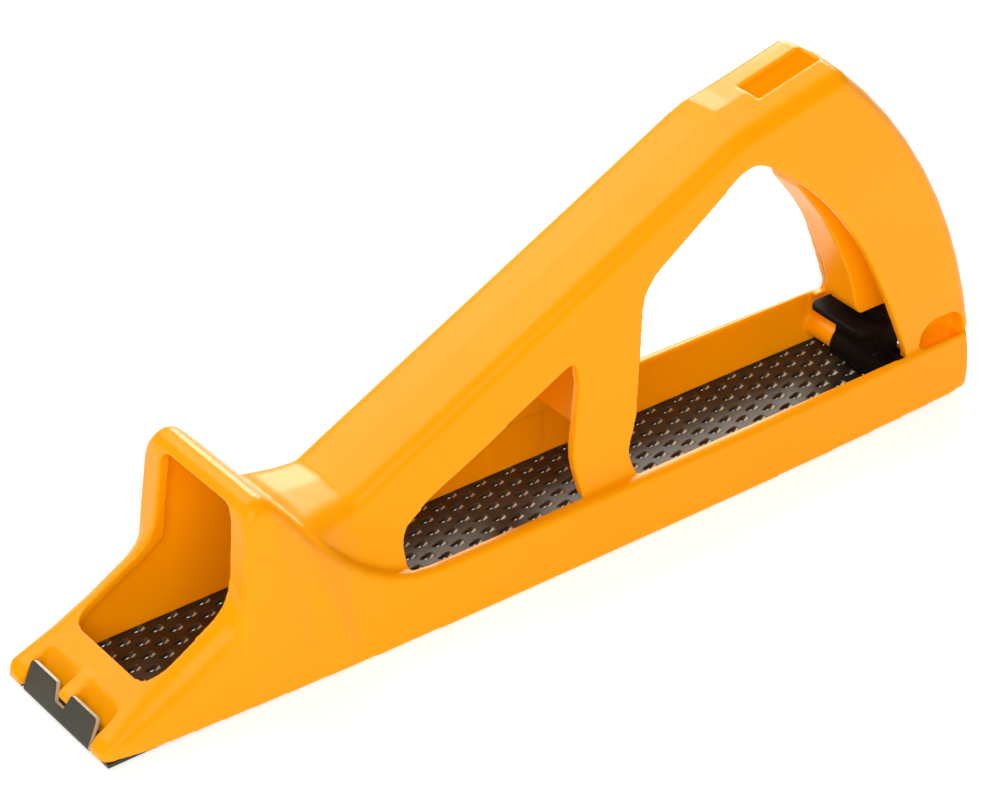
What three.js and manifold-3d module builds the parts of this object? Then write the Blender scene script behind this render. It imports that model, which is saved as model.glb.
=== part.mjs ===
// Rasp plane: a one-piece moulded body that carries a perforated rasp blade under its rails,
// with the blade drawn tight by a cam lever at the heel.
// Millimetres, +Z up. X runs from the nose to the tail, and Y across the tool.
// X is zero at the blade's front bend and Z is zero at the blade's top face while the parts are made.
import * as THREE from "three";
import Module from "manifold-3d";
import { mergeGeometries, mergeVertices } from "three/addons/utils/BufferGeometryUtils.js";

const wasm = await Module();
wasm.setup();

// Blade
const bladeLength = 250;
const bladeHalfWidth = 20.5;
const bladeThickness = 1;
const toothDepth = 1.6;
const toothPitch = 8.96;
const toothRowPitch = 2.37;
const toothRowShift = 3.64;
const toothMargin = 1.1;
const toothEndMargin = 6;
const toothOffset = 6;
const holeLength = 4;
const holeHalfWidth = 1;
const toothThickness = 0.9;
const bladeTabHalfWidth = 13.4;
const bladeTabHeight = 7;
const bladeTabLean = 3;
const bladeNotchHalfWidth = 3.2;
const bladeNotchDepth = 3.9;
const reliefWidth = 2;
const reliefDepth = 1.4;

// Body
const noseTip = 1;
const heelOverhang = 12.5;
const tailEnd = bladeLength + heelOverhang;
const planeHeight = 99.3;
const railHeight = 14.2;
const railHalfWidth = 24.9;
const railDraft = 3.2;
const railEdgeRadius = 1.7;
const windowSill = 0.7;
const windowFoot = railHeight + windowSill;
const rackHalfWidth = 17.3;
const rackHalfWidthTop = 18.3;
const wall = 2.6;
const roofWall = 3;
const hornFront = 36;
const hornBack = 44.5;
const hornHeight = 50;
const hornHalfWidth = 20.4;
const hornEdgeRadius = 4;
const hornRidgeRadius = 4.25;
const noseEdgeRadius = 8;
const backSlopeFoot = 76;
const backSlopeRun = 14;
const noseLip = 2;
const noseLedge = 4.2;
const noseLedgeRun = 1.9;
const cornerRadius = 3;
const noseWindowFoot = 11.8;
const noseWindowTop = 47.4;
const noseWindowHalfWidth = 15.2;
const noseWindowTopHalfWidth = 13.7;
const noseWindowRadius = 4;
const tabRecessHalfWidth = 14.4;
const tabRecessDepth = 4.4;
const tabRecessFoot = 3.2;
const tabRecessRun = 4;
const tabRecessHeight = 9.4;
const tabRecessRadius = 4.5;
const noseBulkhead = 5.8;
const nubRise = 1.7;
const nubCrest = 4.7;
const handleHalfWidth = 12.5;
const handleFootHalfWidth = 18.3;
const handleFoot = 12;
const handleEdgeRadius = 4.5;
const handleCrease = 0.7;
const archRadius = 143;
const columnHalfWidth = 5.3;
const labelLength = 19.4;
const labelHalfWidth = 3.75;
const labelDepth = 1.1;
const pocketDepth = 5;
const pocketRun = 19.75;
const pocketHeight = 6.45;
const pocketWall = 1.1;
const pocketRadius = 2.6;
const pocketSlotDepth = 3.6;
const farSetback = 4.5;
const heelTaper = 9;
const heelTurn = 6;

// Lever
const pinRadius = 2;
const pinSetback = 10;
const pinX = bladeLength - pinSetback;
const pinZ = 5;
const pinGrip = 2;
const pinFit = 0.05;
const pinSeatFit = 0.04;
const pinBossRadius = 3.2;
const leverHubRadius = 4.3;
const leverCamRadius = 6.5;
const leverCamNose = 1.3;
const leverSweep = 15.7;
const leverHalfWidth = 7.2;
const leverTabHalfWidth = 9.5;
const leverTabThickness = 1.8;
const leverTabReach = 10.6;
const leverTabRise = 14;
const leverTabEdge = 0.8;
const leverTabCorner = 3;
const leverRoom = 0.7;
const columnFoot = pinZ + leverSweep + leverRoom;
const hubFrontDegrees = 222;
const hubRearDegrees = 330;
const camLowDegrees = 6;
const camHighDegrees = 28;
const crownRearDegrees = 60;
const crownRoundDegrees = 4;
const crownFrontDegrees = 97;

const clearance = 0.4;
const overrun = 2;
const weld = 0.2;
const curveSteps = 5;
const shoulderSteps = 5;
const pinSteps = 24;

// Nose and horn wall, x in shares of the horn's place and z in shares of its height
const slopeShares = [[0.306, 0.203], [0.583, 0.32], [0.882, 0.445], [0.944, 0.491], [0.986, 0.546]];
const hornWallShares = [[1, 0.616], [1, 0.794]];
const ridgeDegrees = [180, 150, 120, 90, 65, 45];
const backSlopeShares = [0.3, 0.68];
const backFootShares = [0.25, 0.5, 0.75, 1];
const edgeLimitShare = 0.6;
// Outlines, x in shares of the blade's length and z in shares of the plane's height
const railStationShares = [0.44, 0.53, 0.62, 0.71, 0.8, 0.88, 0.95, 1];
const saddleShares = [[0.205, 0.345], [0.238, 0.361], [0.264, 0.358]];
const saddleFlareShares = [1.6, 1.32, 1.1];
const saddleRadiusShares = [1.9, 1.7, 1.3];
const handleShares = [[0.288, 0.355], [0.44, 0.55], [0.6, 0.755], [0.72, 0.9105], [0.738, 0.93], [0.76, 0.941]];
const handleFootShares = [0.288, 0.44, 0.6, 0.72, 0.736, 0.752];
const plateauEndShare = 0.856;
const plateauFootShare = 0.815;
const archStartShares = [0.864, 0.99];
const archFootShares = [0.83, 0.965];
const archSteps = 9;
// A window's first and last points stand on its sill
const windowOneShares = [[0.334, 0], [0.333, 0.225], [0.366, 0.287], [0.42, 0.352], [0.536, 0.5],
  [0.539, 0.43], [0.5275, 0.235], [0.535, 0]];
const windowOneRadiusShares = [0, 0.06, 0.03, 0, 0.034, 0, 0.03, 0];
const windowTwoShares = [[0.6, 0], [0.592, 0.205], [0.604, 0.3], [0.617, 0.618], [0.748, 0.852],
  [0.832, 0.692], [0.892, 0.495], [0.93, 0.289], [0.952, 0]];
const windowTwoRadiusShares = [0, 0.03, 0.06, 0.06, 0.07, 0.14, 0.2, 0.2, 0];
const columnShares = [[0.838, 0.658], [0.872, 0.548], [0.896, 0.441], [0.918, 0.322], [0.926, 0.242]];
const columnRearShares = [[1.02, 0], [1.02, 0.44], [0.96, 0.7], [0.86, 0.93], [0.8, 0.93]];
const webShares = [[0.581, 0.2], [0.592, 0.2], [0.604, 0.3], [0.617, 0.64], [0.606, 0.64], [0.593, 0.3]];
// Tail pocket in shares of its run ahead of the tail's end and of its height above the rail
const pocketShares = [[1, 0], [1, 0.46], [0.835, 1], [0.405, 1], [0.253, 0.66], [0.228, 0]];
const labelCentreShare = [0.819, 0.977];
const labelRiseShare = 0.243;
const barrelCentreShare = 0.56;
const barrelShare = 0.148;
const barrelPowerShare = 2.4;
const tailBulgeShare = 0.985;
const tailSideShares = [0.74, 0.9];

const palette = {
  body: { color: 0xff9f14, roughness: 0.32, metalness: 0 },
  blade: { color: 0x3a3029, roughness: 0.45, metalness: 0.8 },
  lever: { color: 0x16130f, roughness: 0.5, metalness: 0 },
  steel: { color: 0xb4b6b8, roughness: 0.35, metalness: 0.9 },
};

// Closed three.js geometry to solid and back
function solidOf(geometry) {
  const bare = geometry.clone();
  bare.deleteAttribute("normal");
  bare.deleteAttribute("uv");
  const merged = mergeVertices(bare);
  return new wasm.Manifold(new wasm.Mesh({
    numProp: 3,
    vertProperties: new Float32Array(merged.attributes.position.array),
    triVerts: new Uint32Array(merged.index.array),
  }));
}

function meshOf(name, solid, look) {
  const made = solid.getMesh();
  const geometry = new THREE.BufferGeometry();
  geometry.setAttribute("position", new THREE.BufferAttribute(made.vertProperties, 3));
  geometry.setIndex(new THREE.BufferAttribute(made.triVerts, 1));
  geometry.computeVertexNormals();
  const mesh = new THREE.Mesh(geometry, new THREE.MeshStandardMaterial(look));
  mesh.name = name;
  return mesh;
}

// A shape drawn in (x, z), extruded between two places across the tool
function across(shape, from, to) {
  const geometry = new THREE.ExtrudeGeometry(shape, { depth: to - from, bevelEnabled: false, curveSegments: curveSteps });
  geometry.rotateX(Math.PI / 2);
  geometry.translate(0, to, 0);
  return solidOf(geometry);
}

// A shape drawn in (y, z), extruded between two places along the tool
function along(shape, from, to) {
  const geometry = new THREE.ExtrudeGeometry(shape, { depth: to - from, bevelEnabled: false, curveSegments: curveSteps });
  const axes = [new THREE.Vector3(0, 1, 0), new THREE.Vector3(0, 0, 1), new THREE.Vector3(1, 0, 0)];
  geometry.applyMatrix4(new THREE.Matrix4().makeBasis(...axes));
  geometry.translate(from, 0, 0);
  return solidOf(geometry);
}

// A shape drawn in (x, y), extruded upwards between two heights
function upright(shape, from, to) {
  const geometry = new THREE.ExtrudeGeometry(shape, { depth: to - from, bevelEnabled: false, curveSegments: curveSteps });
  geometry.translate(0, 0, from);
  return solidOf(geometry);
}

// A closed outline whose corners are rounded where a radius is given
function rounded(points, radii) {
  const shape = new THREE.Shape();
  points.forEach((point, i) => {
    const corner = new THREE.Vector2(...point);
    const before = new THREE.Vector2(...points.at(i - 1)).sub(corner);
    const after = new THREE.Vector2(...points[(i + 1) % points.length]).sub(corner);
    const reach = Math.min(radii[i], before.length() / 2, after.length() / 2);
    const start = before.setLength(reach).add(corner);
    const end = after.setLength(reach).add(corner);
    if (i === 0) shape.moveTo(start.x, start.y);
    else shape.lineTo(start.x, start.y);
    if (reach > 0) shape.quadraticCurveTo(corner.x, corner.y, end.x, end.y);
  });
  return shape;
}

function outline(shares) {
  return shares.map(([x, z]) => [x * bladeLength, z * planeHeight]);
}

function windowOutline(shares) {
  return outline(shares).map(([x, z], i) => [x, i % (shares.length - 1) === 0 ? windowFoot : z]);
}

function noseOutline(shares) {
  return shares.map(([x, z]) => [x * hornFront, z * hornHeight]);
}

function pocketOutline() {
  return pocketShares.map(([run, rise]) => [tailEnd - run * pocketRun, railHeight - weld / 2 + rise * pocketHeight]);
}

// Rings of equal count joined into a closed skin with flat ends
function loft(rings) {
  const count = rings[0].length;
  const index = [];
  for (let ring = 0; ring + 1 < rings.length; ring++) {
    for (let k = 0; k < count; k++) {
      const a = ring * count + k;
      const b = ring * count + (k + 1) % count;
      index.push(a, b, b + count, a, b + count, a + count);
    }
  }
  const last = (rings.length - 1) * count;
  for (let k = 1; k + 1 < count; k++) {
    index.push(0, k + 1, k, last, last + k, last + k + 1);
  }
  const geometry = new THREE.BufferGeometry();
  geometry.setAttribute("position", new THREE.Float32BufferAttribute(rings.flat().flatMap((p) => p.toArray()), 3));
  geometry.setIndex(index);
  return solidOf(geometry);
}

// One symmetrical section that stands on foot and ends at crown, both [x, z], with rounded shoulders
function section(foot, crown, footHalf, crownHalf, radius, crease) {
  const rise = new THREE.Vector3(crown[0] - foot[0], 0, crown[1] - foot[1]);
  const height = rise.length();
  rise.normalize();
  const half = [[footHalf, 0]];
  for (let step = 0; step <= shoulderSteps; step++) {
    const angle = step * Math.PI / 2 / shoulderSteps;
    const level = height - crease - radius * (1 - Math.sin(angle));
    half.push([crownHalf - radius * (1 - Math.cos(angle)), level]);
  }
  const mirrored = half.map(([y, s]) => [-y, s]).reverse();
  return [...half, [0, height], ...mirrored].map(
    ([y, s]) => rise.clone().multiplyScalar(s).add(new THREE.Vector3(foot[0], y, foot[1])));
}

// Half width of the body along its foot: widest behind the middle, drawn in at both ends
function barrel(x) {
  const centre = barrelCentreShare * bladeLength;
  const away = Math.abs(x - centre) / centre;
  return railHalfWidth * (1 - barrelShare * away ** barrelPowerShare);
}

// The sides lean in a little on the nose and more along the rails
function sideAt(x, z) {
  const lean = THREE.MathUtils.smoothstep(x, hornBack, backSlopeFoot);
  const noseLean = (barrel(hornBack) - hornHalfWidth) / hornHeight;
  return barrel(x) - z * THREE.MathUtils.lerp(noseLean, railDraft / railHeight, lean);
}

// Round ridge of the horn, from its front wall over to the back slope
function hornRidge() {
  return ridgeDegrees.map((degrees) => {
    const angle = THREE.MathUtils.degToRad(degrees);
    const level = hornHeight - hornRidgeRadius * (1 - Math.sin(angle));
    return [hornFront + hornRidgeRadius * (1 + Math.cos(angle)), level];
  });
}

// Back of the horn: straight down from the ridge, then in a hollow curve onto the rails
function backSlope() {
  const top = new THREE.Vector2(...hornRidge().at(-1));
  const foot = new THREE.Vector2(backSlopeFoot, railHeight);
  const end = new THREE.Vector2(backSlopeFoot + backSlopeRun, railHeight);
  const straight = backSlopeShares.map((share) => top.clone().lerp(foot, share));
  const turn = straight.at(-1);
  const curved = backFootShares.map((share) => turn.clone().lerp(foot, share).lerp(foot.clone().lerp(end, share), share));
  return [...straight, ...curved].map((point) => point.toArray());
}

// Top of the nose, horn and rails as [x, z] stations
function topLine() {
  return [
    [-noseTip, noseLip],
    [noseLedgeRun - noseTip, noseLedge],
    ...noseOutline(slopeShares),
    ...noseOutline(hornWallShares),
    ...hornRidge(),
    ...backSlope(),
    ...railStationShares.map((share) => [share * bladeLength, railHeight]),
    [tailEnd, railHeight],
  ];
}

// Round ends in plan
function planForm() {
  const shape = new THREE.Shape();
  const wide = railHalfWidth + overrun;
  const front = barrel(0) - railEdgeRadius / 3;
  const [rear, side] = tailSideShares.map((share) => share * railHalfWidth);
  const heel = tailEnd * tailBulgeShare;
  shape.moveTo(-noseTip, cornerRadius - front);
  shape.quadraticCurveTo(-noseTip, -front, cornerRadius, -front);
  shape.lineTo(hornFront, -wide);
  shape.lineTo(heel - heelTaper, -wide);
  shape.lineTo(heel - heelTurn, -side);
  shape.quadraticCurveTo(heel, -side, heel, -rear);
  shape.quadraticCurveTo(tailEnd, -rear / 3, tailEnd, 0);
  shape.quadraticCurveTo(tailEnd, rear / 3, heel, rear);
  shape.quadraticCurveTo(heel, side, heel - heelTurn, side);
  shape.lineTo(heel - heelTaper, wide);
  shape.lineTo(hornFront, wide);
  shape.lineTo(cornerRadius, front);
  shape.quadraticCurveTo(-noseTip, front, -noseTip, front - cornerRadius);
  return upright(shape, 0, planeHeight);
}

// Radius along the upper edges: full on the nose, less on the horn and least on the rails
function edgeRadius(x, z) {
  const horn = THREE.MathUtils.lerp(noseEdgeRadius, hornEdgeRadius, THREE.MathUtils.smoothstep(z, hornHeight / 2, hornHeight));
  const edge = THREE.MathUtils.lerp(horn, railEdgeRadius, THREE.MathUtils.smoothstep(x, hornBack, backSlopeFoot));
  return Math.min(edge, z * edgeLimitShare);
}

// Nose, horn and rails as one solid
function lowerForm() {
  const rings = topLine().map(([x, z]) => {
    return section([x, 0], [x, z], barrel(x), sideAt(x, z), edgeRadius(x, z), 0);
  });
  return loft(rings).intersect(planForm());
}

// Points of the rear arch: an arc of the named radius from the grip's heel down to the tail
function archLine() {
  const start = new THREE.Vector2(archStartShares[0] * bladeLength, archStartShares[1] * planeHeight);
  const end = new THREE.Vector2(tailEnd, railHeight);
  const chord = end.clone().sub(start);
  const span = chord.length();
  const inward = new THREE.Vector2(chord.y, -chord.x).normalize();
  const sagitta = Math.sqrt(archRadius ** 2 - (span / 2) ** 2);
  const centre = start.clone().add(end).multiplyScalar(1 / 2).add(inward.multiplyScalar(sagitta));
  const from = start.clone().sub(centre).angle();
  const to = end.clone().sub(centre).angle();
  const turn = THREE.MathUtils.euclideanModulo(to - from + Math.PI, 2 * Math.PI) - Math.PI;
  const line = [];
  for (let step = 0; step <= archSteps; step++) {
    const angle = from + turn * step / archSteps;
    line.push([centre.x + archRadius * Math.cos(angle), centre.y + archRadius * Math.sin(angle)]);
  }
  return line;
}

// Stations of the handle, the plateau and the arch; inset draws the skin in for the hollow inside
function upperForm(inset, roof) {
  const stations = [];
  outline(saddleShares).forEach((crown, i) => {
    stations.push([[crown[0], handleFoot], crown, saddleFlareShares[i] * handleHalfWidth, saddleRadiusShares[i]]);
  });
  outline(handleShares).forEach((crown, i) => {
    stations.push([[handleFootShares[i] * bladeLength, handleFoot], crown, handleHalfWidth, 1]);
  });
  const labelLine = labelCentreShare[1] + (plateauEndShare - labelCentreShare[0]) * labelRiseShare * bladeLength / planeHeight;
  stations.push([[plateauFootShare * bladeLength, handleFoot], [plateauEndShare * bladeLength, labelLine * planeHeight], handleHalfWidth, 1]);
  archLine().forEach((crown, i) => {
    const share = THREE.MathUtils.lerp(...archFootShares, i / archSteps);
    const drop = (planeHeight - crown[1]) / (planeHeight - handleFoot);
    stations.push([[share * bladeLength, handleFoot], crown, THREE.MathUtils.lerp(handleHalfWidth, handleFootHalfWidth, drop), 1]);
  });
  const rings = stations.map(([base, crown, half, radiusShare]) => {
    const rise = new THREE.Vector2(crown[0] - base[0], crown[1] - base[1]);
    rise.setLength(rise.length() - roof);
    const top = [base[0] + rise.x, base[1] + rise.y];
    const footHalf = Math.max(handleFootHalfWidth, half);
    const radius = radiusShare * handleEdgeRadius;
    return section(base, top, footHalf - inset, half - inset, radius, handleCrease);
  });
  return loft(rings);
}

// Hollow of the nose, open below and inside the front window
function noseHollow() {
  const lift = roofWall * Math.hypot(1, slopeShare());
  const start = tabRecessDepth + noseBulkhead;
  const ceiling = ([x, z]) => [x, z - lift];
  const slope = noseOutline(slopeShares).map(ceiling);
  const back = backSlope().slice(0, backSlopeShares.length + 1);
  const inward = roofWall * Math.SQRT1_2;
  const points = [
    [start, -overrun],
    [start, slope[0][1]],
    ...slope.slice(0, 3),
    [hornFront + roofWall, slope[4][1]],
    [hornFront + roofWall, hornHeight - roofWall - weld],
    [hornRidge().at(-1)[0] - inward, hornHeight - roofWall - weld],
    ...back.map(([x, z]) => [x - inward, z - inward]),
    [backSlopeFoot - roofWall, railHeight - roofWall / 2],
    [backSlopeFoot - roofWall, -overrun],
  ];
  return across(rounded(points, points.map(() => 0)), -rackHalfWidth, rackHalfWidth);
}

function slopeShare() {
  const [first, , third] = noseOutline(slopeShares);
  return (third[1] - first[1]) / (third[0] - first[0]);
}

// The bed between the rails, with drafted walls beside each window
function bedCut(from, to) {
  const top = windowFoot + weld;
  const points = [[-rackHalfWidth, -overrun], [rackHalfWidth, -overrun], [rackHalfWidth, 0],
    [rackHalfWidthTop, railHeight], [rackHalfWidthTop, top], [-rackHalfWidthTop, top], [-rackHalfWidthTop, railHeight],
    [-rackHalfWidth, 0]];
  return along(rounded(points, points.map(() => 0)), from, to);
}

// Straight channel under the handle and the lever's room
function channelCut() {
  const half = rackHalfWidth;
  const rear = tailEnd - roofWall;
  const points = [[backSlopeFoot - roofWall - overrun, -overrun], [rear, -overrun], [rear, railHeight], [backSlopeFoot - roofWall - overrun, railHeight]];
  return across(rounded(points, points.map(() => 0)), -half, half);
}

// Front window of the nose above its rounded lower corners
function noseWindow() {
  const foot = noseWindowFoot + noseWindowRadius;
  const points = [[-noseWindowHalfWidth, foot], [noseWindowHalfWidth, foot],
    [noseWindowTopHalfWidth, noseWindowTop], [-noseWindowTopHalfWidth, noseWindowTop]];
  const radii = [0, 0, noseWindowRadius, noseWindowRadius];
  return along(rounded(points, radii), 0, hornFront + roofWall + weld);
}

// Lower end of the nose window with its round corners, cut straight down so that the wall ends thin
function noseSill() {
  const [lower] = noseOutline(slopeShares);
  const front = lower[0] + (noseWindowFoot - lower[1]) / slopeShare();
  const turn = noseWindowRadius / slopeShare();
  const half = noseWindowHalfWidth;
  const shape = new THREE.Shape();
  shape.moveTo(hornFront, -half);
  shape.lineTo(hornFront, half);
  shape.lineTo(front + turn, half);
  shape.quadraticCurveTo(front, half, front, half - noseWindowRadius);
  shape.lineTo(front, noseWindowRadius - half);
  shape.quadraticCurveTo(front, -half, front + turn, -half);
  return upright(shape, noseWindowFoot - 2 * roofWall, noseWindowFoot + noseWindowRadius + weld);
}

// Bowl in the nose for the blade's front tab, its back leaning away from the tab
function tabRecess() {
  const front = -noseTip - overrun;
  const rim = tabRecessDepth + tabRecessRun;
  const profile = [[front, -overrun], [tabRecessDepth, -overrun], [tabRecessDepth, tabRecessFoot],
    [rim, tabRecessHeight], [rim, tabRecessHeight + overrun], [front, tabRecessHeight + overrun]];
  const plan = [[front, -tabRecessHalfWidth], [rim, -tabRecessHalfWidth], [rim, tabRecessHalfWidth], [front, tabRecessHalfWidth]];
  const bowl = across(rounded(profile, profile.map(() => 0)), -tabRecessHalfWidth, tabRecessHalfWidth);
  return bowl.intersect(upright(rounded(plan, [0, tabRecessRadius, tabRecessRadius, 0]), -overrun, tabRecessHeight + overrun));
}

// Nub of the nose that stands in the notch of the blade's front tab and runs back up the bowl
function tabNub() {
  const low = bladeTabHeight - bladeNotchDepth + clearance;
  const rear = tabRecessDepth + tabRecessRun;
  const points = [[bladeTabLean / 2, low], [rear, low], [rear, tabRecessHeight - clearance],
    [nubCrest, low + nubRise + nubCrest - bladeTabLean], [bladeTabLean / 2, low + nubRise]];
  const half = bladeNotchHalfWidth - 2 * clearance;
  return across(rounded(points, [clearance, 0, 0, clearance, clearance]), -half, half);
}

function labelRecess() {
  const [x, z] = [labelCentreShare[0] * bladeLength, labelCentreShare[1] * planeHeight];
  const half = labelLength / 2;
  const sink = (run, depth) => [x + run, z + run * labelRiseShare - depth];
  const points = [sink(-half, labelDepth), sink(half, labelDepth), sink(half, -overrun), sink(-half, -overrun)];
  return across(rounded(points, points.map(() => 0)), -labelHalfWidth, labelHalfWidth);
}

// The same outline cut in both sides between two distances from the middle
function bothSides(shape, inner, outer) {
  return across(shape, inner, outer).add(across(shape, -outer, -inner));
}

// Scooped pocket in each side of the tail, with a slot behind the rail at its foot
function tailPockets() {
  const scoop = pocketOutline();
  const radii = scoop.map((_, i) => (i > 0 && i < scoop.length - 1 ? pocketRadius : 0));
  const inner = handleFootHalfWidth - pocketDepth;
  const [[front, level], rear] = [scoop[0], scoop.at(-1)];
  const slot = [[front + pocketWall, level - pocketSlotDepth], [rear[0] - pocketWall, level - pocketSlotDepth],
    [rear[0] - pocketWall, level + weld], [front + pocketWall, level + weld]];
  return bothSides(rounded(scoop, radii), inner, railHalfWidth + overrun)
    .add(bothSides(rounded(slot, slot.map(() => 0)), inner, handleFootHalfWidth));
}

// Cheeks that close the pockets off from the lever's room
function pocketCheeks(outer) {
  const [[front]] = pocketOutline();
  const top = railHeight + pocketHeight + pocketWall;
  const points = [[front - pocketWall, railHeight - pocketSlotDepth - pocketWall], [tailEnd, railHeight - pocketSlotDepth - pocketWall],
    [tailEnd, top], [front - pocketWall, top]];
  const inner = handleFootHalfWidth - pocketDepth - pocketWall;
  return bothSides(rounded(points, points.map(() => 0)), inner, handleFootHalfWidth - weld).intersect(outer);
}

// Middle rib of the arch and the rear wall of the strut, both kept inside the outer form
function innerRibs(outer) {
  const front = outline(columnShares);
  const rear = outline(columnRearShares);
  rear[0][1] = columnFoot;
  const points = [...front, [front.at(-1)[0] + overrun, columnFoot], ...rear];
  const radii = points.map((_, i) => (i > 0 && i < front.length ? handleEdgeRadius : 0));
  const column = across(rounded(points, radii), -columnHalfWidth, columnHalfWidth);
  const webOutline = outline(webShares);
  const web = across(rounded(webOutline, webOutline.map(() => 0)), -handleFootHalfWidth, handleFootHalfWidth);
  return column.add(web).intersect(outer);
}

// Bosses on the inner side of both rails that carry the lever's pin up to the lever
function pinBosses() {
  const inner = leverHalfWidth + clearance;
  const boss = new THREE.CylinderGeometry(pinBossRadius, pinBossRadius, rackHalfWidth + weld - inner, pinSteps);
  boss.translate(pinX, (rackHalfWidth + weld + inner) / 2, pinZ);
  const solid = solidOf(boss);
  return solid.add(solid.mirror([0, 1, 0]));
}

function pinBores() {
  const reach = rackHalfWidth + pinGrip + clearance;
  const bore = new THREE.CylinderGeometry(pinRadius + pinSeatFit, pinRadius + pinSeatFit, 2 * reach, pinSteps);
  bore.translate(pinX, 0, pinZ);
  return solidOf(bore);
}

function makeBody() {
  const outer = lowerForm().add(upperForm(0, 0));
  const windowOne = windowOutline(windowOneShares);
  const windowTwo = windowOutline(windowTwoShares);
  const scaled = (shares) => shares.map((share) => share * planeHeight);
  const windowOneRadii = scaled(windowOneRadiusShares);
  const windowTwoRadii = scaled(windowTwoRadiusShares);
  const setBack = windowTwo.map(([x, z], i) => (i > 4 ? [x + farSetback, z] : [x, z]));
  const cuts = [
    noseHollow(),
    channelCut(),
    upperForm(wall, roofWall),
    noseWindow(),
    noseSill(),
    tabRecess(),
    labelRecess(),
    bedCut(windowOne[0][0], windowOne.at(-1)[0]),
    bedCut(windowTwo[0][0], windowTwo.at(-1)[0]),
    across(rounded(windowOne, windowOneRadii), -railHalfWidth, railHalfWidth),
    across(rounded(windowTwo, windowTwoRadii), -railHalfWidth, railHalfWidth),
    across(rounded(setBack, windowTwoRadii), 0, railHalfWidth),
  ];
  let body = outer;
  for (const cut of cuts) body = body.subtract(cut);
  const ribs = [innerRibs(outer), pocketCheeks(outer), tabNub(), pinBosses()];
  for (const rib of ribs) body = body.add(rib);
  return body.subtract(tailPockets()).subtract(pinBores());
}

// Blade: a plate with a bent-up, notched tab at each end and a staggered field of pierced teeth
function bladeTab(end) {
  const side = end > 0 ? -1 : 1;
  const at = end > 0 ? bladeLength : 0;
  const points = [
    [at + side * 2 * bladeThickness, -bladeThickness],
    [at - side * bladeThickness / 2, -bladeThickness],
    [at - side * bladeThickness, -bladeThickness / 3],
    [at + side * (bladeTabLean - bladeThickness), bladeTabHeight],
    [at + side * bladeTabLean, bladeTabHeight],
    [at + side * bladeThickness / 3, 0],
    [at + side * 2 * bladeThickness, 0],
  ];
  const plate = across(rounded(points, points.map(() => 0)), -bladeTabHalfWidth, bladeTabHalfWidth);
  const low = bladeTabHeight - bladeNotchDepth;
  const notch = [[-bladeNotchHalfWidth, bladeTabHeight + overrun], [-bladeNotchHalfWidth, low],
    [bladeNotchHalfWidth, low], [bladeNotchHalfWidth, bladeTabHeight + overrun]];
  const notchCut = along(rounded(notch, [0, bladeThickness, bladeThickness, 0]), at - 2 * bladeTabLean, at + 2 * bladeTabLean);
  return plate.subtract(notchCut);
}

// Relief cut into the strip on both sides of a tab
function tabReliefs(end) {
  const from = end > 0 ? bladeLength - reliefDepth : -overrun;
  const to = end > 0 ? bladeLength + overrun : reliefDepth;
  const points = [[from, -bladeThickness - overrun], [to, -bladeThickness - overrun], [to, overrun], [from, overrun]];
  return bothSides(rounded(points, points.map(() => 0)), bladeTabHalfWidth, bladeTabHalfWidth + reliefWidth);
}

// Places of the teeth in plan: rows along the blade, each shifted on the one before
function toothPlaces() {
  const places = [];
  const rows = Math.floor((bladeHalfWidth - toothMargin) / toothRowPitch);
  for (let row = -rows; row <= rows; row++) {
    const shift = toothOffset - row * toothRowShift;
    const first = toothEndMargin + THREE.MathUtils.euclideanModulo(shift, toothPitch);
    for (let x = first; x < bladeLength - toothEndMargin; x += toothPitch) {
      places.push([x, row * toothRowPitch]);
    }
  }
  return places;
}

// A closed solid over a triangle, drawn out to a second triangle
function wedge(low, high) {
  const geometry = new THREE.BufferGeometry();
  geometry.setAttribute("position", new THREE.Float32BufferAttribute([...low, ...high].flat(), 3));
  geometry.setIndex([0, 2, 1, 3, 4, 5, 0, 1, 4, 0, 4, 3, 1, 2, 5, 1, 5, 4, 2, 0, 3, 2, 3, 5]);
  return geometry;
}

function spike(base, tip) {
  const geometry = new THREE.BufferGeometry();
  geometry.setAttribute("position", new THREE.Float32BufferAttribute([...base, tip].flat(), 3));
  geometry.setIndex([0, 1, 2, 0, 3, 1, 1, 3, 2, 2, 3, 0]);
  return geometry;
}

function makeBlade() {
  const plate = new THREE.BoxGeometry(bladeLength, 2 * bladeHalfWidth, bladeThickness);
  plate.translate(bladeLength / 2, 0, -bladeThickness / 2);
  const front = -holeLength / 2;
  const rear = holeLength / 2;
  const corners = [[front, 0], [rear, -holeHalfWidth], [rear, holeHalfWidth]];
  const below = -bladeThickness - weld / 2;
  const hole = wedge(corners.map(([x, y]) => [x, y, below]), corners.map(([x, y]) => [x, y, weld]));
  const root = rear + 3 * weld;
  const inside = weld / 2 - bladeThickness;
  const tooth = spike([[root, -holeHalfWidth, inside], [root + toothThickness, 0, inside], [root, holeHalfWidth, inside]],
    [front + toothThickness, 0, -bladeThickness - toothDepth]);
  const places = toothPlaces();
  const repeat = (unit) => solidOf(mergeGeometries(places.map(([x, y]) => unit.clone().translate(x, y, 0))));
  const strip = solidOf(plate).subtract(tabReliefs(-1)).subtract(tabReliefs(1)).add(bladeTab(-1)).add(bladeTab(1));
  return strip.add(repeat(tooth)).subtract(repeat(hole));
}

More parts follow.
